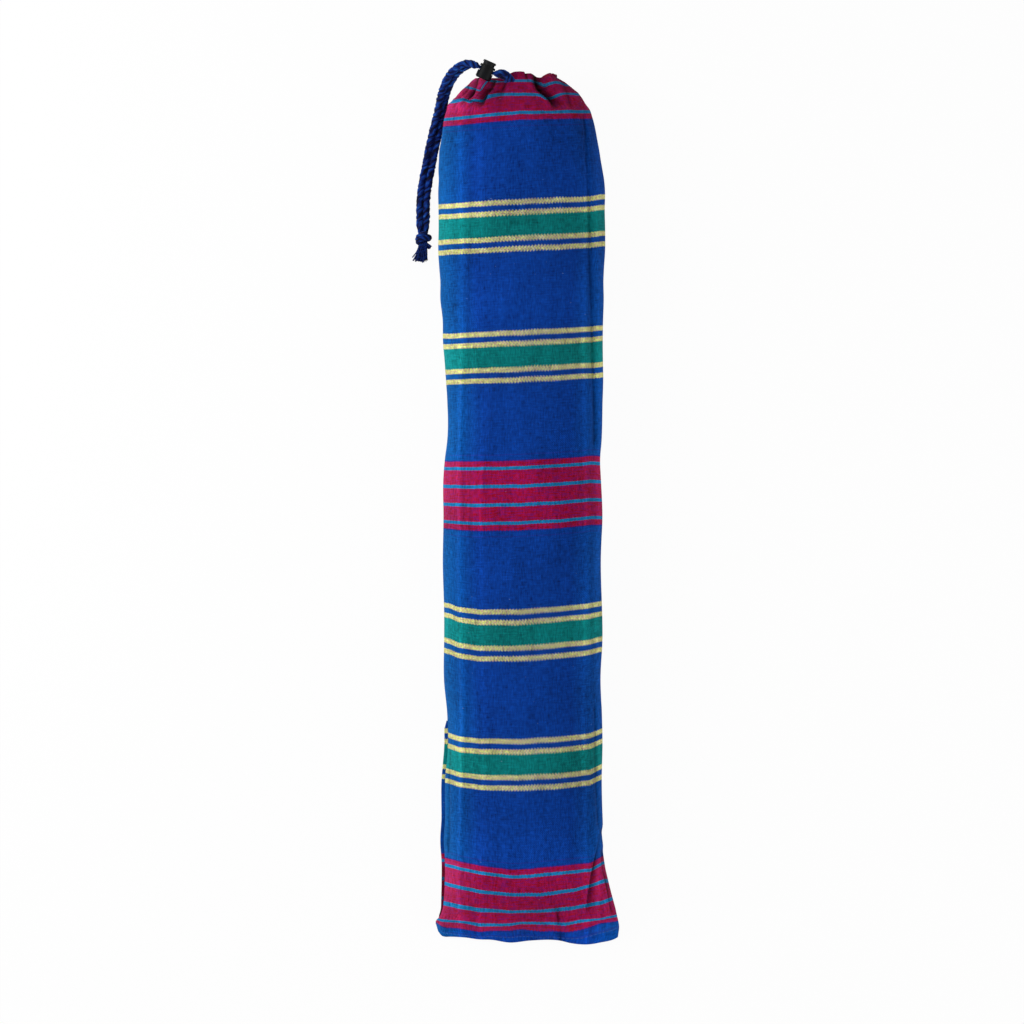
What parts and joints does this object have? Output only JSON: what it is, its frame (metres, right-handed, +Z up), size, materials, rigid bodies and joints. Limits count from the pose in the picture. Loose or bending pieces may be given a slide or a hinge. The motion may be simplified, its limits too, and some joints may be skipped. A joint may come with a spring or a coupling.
{
  "type": "packed hammock with stand",
  "caption": "Filled drawstring carry bag of striped cotton, lying flat, with a folded hammock and a knocked-down tubular stand inside and a sliding lock on its drawcord.",
  "frame": {"origin": "on the ground, under the middle of the bag's box, measured without the drawcord, its tails and its lock", "axes": "+Y along the bag towards its gathered mouth, +Z up from the ground, +X to the side away from the cord tails"},
  "size_m": [0.2571, 1.1075, 0.0912],
  "materials": {
    "bag_cloth": "plain-woven cotton with stripes across it",
    "drawcord_cotton": "soft laid cotton cord",
    "lock_plastic": "moulded, satin",
    "spring_steel": "bright wire",
    "hammock_cloth": "plain-woven cotton, folded",
    "suspension_cotton": "natural cotton cords, bundled",
    "ring_steel": "bright, welded",
    "tube_paint": "powder coat, fine texture",
    "cap_plastic": "moulded",
    "fastener_steel": "zinc plated"
  },
  "bodies": {
    "packed_bag": {"bag_body": "bag_cloth", "mouth_casing": "bag_cloth", "drawcord": "drawcord_cotton", "cord_tail_a": "drawcord_cotton", "cord_tail_b": "drawcord_cotton", "tail_knot": "drawcord_cotton", "tassel": "drawcord_cotton", "hammock_bed": "hammock_cloth", "hammock_end_cords": "suspension_cotton", "hammock_ring_head": "ring_steel", "hammock_ring_foot": "ring_steel", "foot_tube_left": "tube_paint", "foot_tube_right": "tube_paint", "foot_caps": "cap_plastic", "centre_tube": "tube_paint", "lower_arm_left": "tube_paint", "lower_arm_right": "tube_paint", "upper_arm_left": "tube_paint", "upper_arm_right": "tube_paint", "arm_caps": "cap_plastic", "snap_spring_1": "spring_steel", "snap_spring_2": "spring_steel", "snap_spring_3": "spring_steel", "snap_spring_4": "spring_steel", "hook_left": "fastener_steel", "hook_right": "fastener_steel", "hook_nuts": "fastener_steel", "foot_bolts": "fastener_steel", "foot_nuts": "fastener_steel"},
    "cord_lock": {"lock_body": "lock_plastic", "lock_spring": "spring_steel"},
    "lock_button": {"lock_plunger": "lock_plastic"},
    "snap_1": {"snap_button_1": "fastener_steel"},
    "snap_2": {"snap_button_2": "fastener_steel"},
    "snap_3": {"snap_button_3": "fastener_steel"},
    "snap_4": {"snap_button_4": "fastener_steel"}
  },
  "joints": [
    {"name": "lock_slide", "type": "slide", "parent": "packed_bag", "child": "cord_lock", "axis": [-0.9135, 0.4067, 0], "range_m": [0, 0.006]},
    {"name": "lock_press", "type": "slide", "parent": "cord_lock", "child": "lock_button", "axis": [-0.4067, -0.9135, 0], "range_m": [0, 0.003], "stiffness_N_per_m": 900, "springref_m": -0.003, "deforming": ["lock_spring"]},
    {"name": "snap_1_press", "type": "slide", "parent": "packed_bag", "child": "snap_1", "axis": [1, 0, 0], "range_m": [0, 0.0056], "stiffness_N_per_m": 900, "springref_m": -0.003, "deforming": ["snap_spring_1"]},
    {"name": "snap_2_press", "type": "slide", "parent": "packed_bag", "child": "snap_2", "axis": [0.7071, -0.7071, 0], "range_m": [0, 0.0056], "stiffness_N_per_m": 900, "springref_m": -0.003, "deforming": ["snap_spring_2"]},
    {"name": "snap_3_press", "type": "slide", "parent": "packed_bag", "child": "snap_3", "axis": [-1, 0, 0], "range_m": [0, 0.0056], "stiffness_N_per_m": 900, "springref_m": -0.003, "deforming": ["snap_spring_3"]},
    {"name": "snap_4_press", "type": "slide", "parent": "packed_bag", "child": "snap_4", "axis": [-0.7071, 0.7071, 0], "range_m": [0, 0.0056], "stiffness_N_per_m": 900, "springref_m": -0.003, "deforming": ["snap_spring_4"]}
  ]
}
